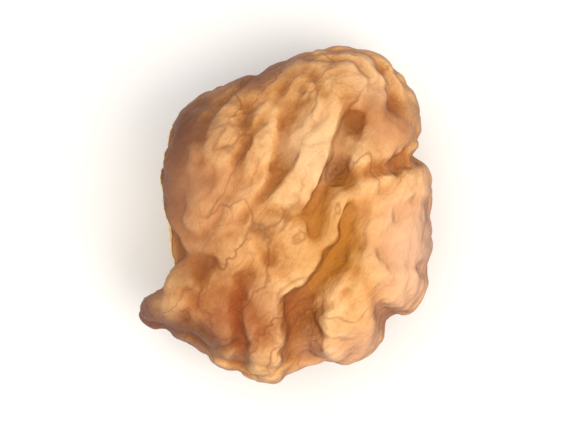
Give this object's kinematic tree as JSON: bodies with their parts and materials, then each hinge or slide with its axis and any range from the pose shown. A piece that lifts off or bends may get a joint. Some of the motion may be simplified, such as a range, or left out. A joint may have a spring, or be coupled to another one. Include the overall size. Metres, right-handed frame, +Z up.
{
  "type": "walnut kernel",
  "caption": "Broken lobe of shelled walnut kernel with winding ridges and furrows, snapped along its left side and underneath, resting on the flat stump of its root.",
  "frame": {"origin": "under the middle of the bounding box, on the flat snapped face that the piece rests on", "axes": "+Z up, out of the ridged outer side; +Y along the piece, towards the end with the comma-shaped knob; +X towards the side with the broad lobes, away from the break"},
  "size_m": [0.0172, 0.0198, 0.0105],
  "materials": {
    "skin": "dull, thin papery skin"
  },
  "bodies": {
    "root": {"kernel": "skin"}
  },
  "joints": []
}
